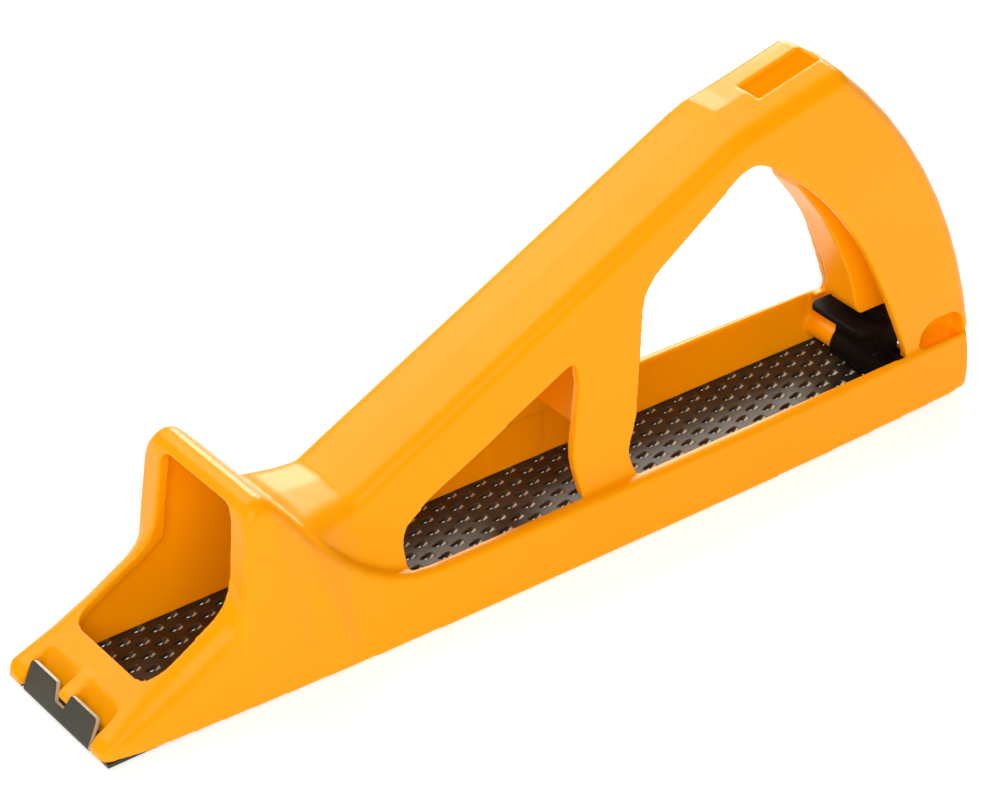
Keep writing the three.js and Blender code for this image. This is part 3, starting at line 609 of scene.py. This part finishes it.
def tab_height(s, across, full):
    """Top of the tab at a place across it: notched in the middle, rounded at its corners."""
    low = full - s.notch_depth
    notch = low + s.notch_depth * ramp(abs(across), s.notch_half / 2, s.notch_half)
    over = max(abs(across) - s.tab_half + s.thickness, 0) / s.thickness
    return min(notch, full - s.thickness * (1 - math.sqrt(max(1 - over * over, 0))))


def tab_line(s, full, height):
    """Middle line of the tab as (run, rise): along the strip, round the bend and up to a height."""
    half = s.thickness / 2
    corner = Vector((-half, -half))
    climb = (Vector((s.tab_lean - half, full)) - corner).normalized()
    level = corner + Vector((2 * s.thickness, 0))
    upright = corner + climb * s.thickness
    line = [level + Vector((s.thickness, 0))]
    for step in range(BEND_STEPS + 1):
        share = step / BEND_STEPS
        line.append(level.lerp(corner, share).lerp(corner.lerp(upright, share), share))
    end = corner + climb * ((height + half) / climb.y)
    return line + [end - climb * half / 2, end]


def bend_tab(strip, bend, side, top, full):
    """The tab bent up at one end of the strip, leaning back over it, with its cut edge bare and painted pale
    as a glint.
    """
    s = strip.settings
    half = s.thickness / 2
    # Each column holds points of the tab's outer and inner side by turns
    columns = []
    for column in range(TAB_COLUMNS):
        across = s.tab_half * (2 * column / (TAB_COLUMNS - 1) - 1)
        line = tab_line(s, full, tab_height(s, across, full))
        start = len(strip.vertices)
        for k, point in enumerate(line):
            ahead = (line[min(k + 1, len(line) - 1)] - line[max(k - 1, 0)]).normalized()
            normal = Vector((-ahead.y, ahead.x)) * half
            for offset in (normal, -normal):
                run, rise = point + offset
                strip.vertices.append((bend + side * run, across, top + rise))
        columns.append(list(range(start, len(strip.vertices))))
    for left, right in zip(columns, columns[1:]):
        for k in range(0, len(left) - 2, 2):
            strip.face((left[k], right[k], right[k + 2], left[k + 2]))
            strip.face((left[k + 1], left[k + 3], right[k + 3], right[k + 1]))
        strip.face((left[-2], right[-2], right[-1], left[-1]), BARE_AND_GLINT_SLOT)
    for edge in (columns[0], columns[-1]):
        for k in range(0, len(edge) - 2, 2):
            strip.face((edge[k], edge[k + 2], edge[k + 3], edge[k + 1]), BARE_AND_GLINT_SLOT)


def strip_mesh(strip, tab_start):
    """The laid-down faces as one mesh, with the tabs' faces turned outward."""
    mesh = bpy.data.meshes.new("pierced_strip")
    mesh.from_pydata(strip.vertices, [], strip.faces)
    mesh.polygons.foreach_set("material_index", strip.finishes)
    shell = bmesh.new()
    shell.from_mesh(mesh)
    shell.faces.ensure_lookup_table()
    bmesh.ops.recalc_face_normals(shell, faces=shell.faces[tab_start:])
    bmesh.ops.remove_doubles(shell, verts=shell.verts, dist=strip.settings.rolled * WELD_SHARE)
    shell.to_mesh(mesh)
    shell.free()
    mesh.shade_smooth()
    mesh.set_sharp_from_angle(angle=SHARP_ANGLE)
    return mesh


class RASPPLANE_OT_blade(bpy.types.Operator):
    """Makes the pierced strip with its staggered teeth and bent, notched tabs"""
    bl_idname = "raspplane.blade"
    bl_label = "Rasp blade"

    def execute(self, context):
        settings = context.scene.rasp_blade
        low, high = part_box("rasp_blade")
        front, top = blade_front(settings.thickness)
        rear = high[0] - settings.thickness
        strip = Strip(settings)
        lay_rows(strip, front, rear, top, low[2])
        tab_start = len(strip.faces)
        bend_tab(strip, front, 1, top, high[2] - top)
        bend_tab(strip, rear, -1, top, high[2] - top)
        finishes = [oxide_steel(settings), sheared_steel_and_glint(settings), rubbed_rim(settings)]
        piece = place_piece("pierced_blade", strip_mesh(strip, tab_start), finishes)
        stands_for(piece, "rasp_blade", "blade")
        return {"FINISHED"}


class RASPPLANE_OT_lever(bpy.types.Operator):
    """Makes the black release lever and finishes the pin it turns on"""
    bl_idname = "raspplane.lever"
    bl_label = "Release lever and pin"

    def execute(self, context):
        settings = context.scene.rasp_lever
        low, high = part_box("lever_pin")
        pivot = ((low[0] + high[0]) / 2, (low[2] + high[2]) / 2)

        def sleeve(shell):
            start, end = -settings.sleeve_end, -settings.sleeve_start
            tube(shell, pivot, start, end, settings.sleeve_bore, settings.hub_radius)

        finish = textured_nylon(settings)
        piece = even_skin("lever_moulding", "release_lever", settings.skin, [finish], sleeve)
        relax(piece, settings.edge_passes)
        bake_modifiers(piece)
        stands_for(piece, "release_lever", "lever")
        steel = ground_steel(settings)
        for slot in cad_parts["lever_pin"].material_slots:
            slot.material = steel
        return {"FINISHED"}


def direction(azimuth, elevation):
    """From the tool towards an azimuth and elevation."""
    level = math.cos(elevation)
    return Vector((math.sin(azimuth) * level, -math.cos(azimuth) * level, math.sin(elevation)))


def softbox(name, azimuth, elevation, side, power, reach):
    """A square softbox that faces the tool."""
    light = bpy.data.lights.new(name, "AREA")
    light.shape = "SQUARE"
    light.size = side
    light.energy = power
    lamp = bpy.data.objects.new(name, light)
    away = direction(azimuth, elevation)
    lamp.location = away * reach
    lamp.rotation_euler = away.to_track_quat("Z", "Y").to_euler()
    bpy.context.scene.collection.objects.link(lamp)


def white_surround(strength):
    """An even white studio all round."""
    world = bpy.data.worlds.new("White studio")
    world.use_nodes = True
    shade = world.node_tree.nodes["Background"]
    shade.inputs["Color"].default_value = (1.0, 1.0, 1.0, 1.0)
    shade.inputs["Strength"].default_value = strength
    bpy.context.scene.world = world


def pale_floor(settings):
    """The card that the tool stands on."""
    half = settings.floor_half
    mesh = bpy.data.meshes.new("floor")
    square = [(-half, -half, 0), (half, -half, 0), (half, half, 0), (-half, half, 0)]
    mesh.from_pydata(square, [], [(0, 1, 2, 3)])
    place_piece("floor", mesh, [matt_card(settings)])


def product_camera(settings):
    """The camera at the photograph's place, direction and roll."""
    back = direction(settings.azimuth, settings.elevation)
    level = Vector((math.cos(settings.azimuth), math.sin(settings.azimuth), 0))
    rise = back.cross(level)
    right = level * math.cos(settings.roll) + rise * math.sin(settings.roll)
    up = back.cross(right)
    lens = bpy.data.cameras.new("Product camera")
    lens.sensor_fit = "HORIZONTAL"
    lens.sensor_width = SENSOR_WIDTH
    lens.lens = settings.focal
    camera = bpy.data.objects.new("Product camera", lens)
    turned = Matrix((right, up, back)).transposed().to_4x4()
    camera.matrix_world = Matrix.Translation(settings.eye) @ turned
    bpy.context.scene.collection.objects.link(camera)
    bpy.context.scene.camera = camera


class RASPPLANE_OT_stage(bpy.types.Operator):
    """Makes the pale floor, the soft studio light and the camera"""
    bl_idname = "raspplane.stage"
    bl_label = "Floor, light and camera"

    def execute(self, context):
        settings = context.scene.rasp_stage
        product_camera(settings)
        pale_floor(settings)
        white_surround(settings.sky)
        s = settings
        softbox("Back softbox", s.back_azimuth, s.back_elevation, s.strip_box, s.back_power, s.reach)
        softbox("Top softbox", s.top_azimuth, s.top_elevation, s.softbox, s.top_power, s.reach)
        softbox("Front softbox", s.front_azimuth, s.front_elevation, s.softbox, s.front_power, s.reach)
        context.scene.view_settings.view_transform = "Standard"
        return {"FINISHED"}


class RASPPLANE_PT_panel(bpy.types.Panel):
    """Lists the steps and their sizes and colours"""
    bl_idname = "RASPPLANE_PT_panel"
    bl_label = "Rasp plane"
    bl_space_type = "VIEW_3D"
    bl_region_type = "UI"
    bl_category = "Rasp plane"

    def draw(self, context):
        for operator, field, group in STEPS:
            box = self.layout.box()
            box.operator(operator.bl_idname)
            for name in group.__annotations__:
                box.prop(getattr(context.scene, field), name)


STEPS = (
    (RASPPLANE_OT_stage, "rasp_stage", StageSettings),
    (RASPPLANE_OT_body, "rasp_moulding", MouldingSettings),
    (RASPPLANE_OT_blade, "rasp_blade", BladeSettings),
    (RASPPLANE_OT_lever, "rasp_lever", LeverSettings),
)


def register():
    for operator, field, group in STEPS:
        bpy.utils.register_class(group)
        setattr(bpy.types.Scene, field, PointerProperty(type=group))
        bpy.utils.register_class(operator)
    bpy.utils.register_class(RASPPLANE_PT_panel)


def unregister():
    bpy.utils.unregister_class(RASPPLANE_PT_panel)
    for operator, field, group in reversed(STEPS):
        bpy.utils.unregister_class(operator)
        delattr(bpy.types.Scene, field)
        bpy.utils.unregister_class(group)


def corners(bounds):
    """Both corners of a box as plain lists."""
    return [list(corner) for corner in bounds]


def main():
    """Dresses the frame's solids."""
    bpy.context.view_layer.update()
    register()
    bpy.ops.raspplane.stage()
    bpy.ops.raspplane.body()
    bpy.ops.raspplane.blade()
    bpy.ops.raspplane.lever()


if __name__ == "__main__":
    main()
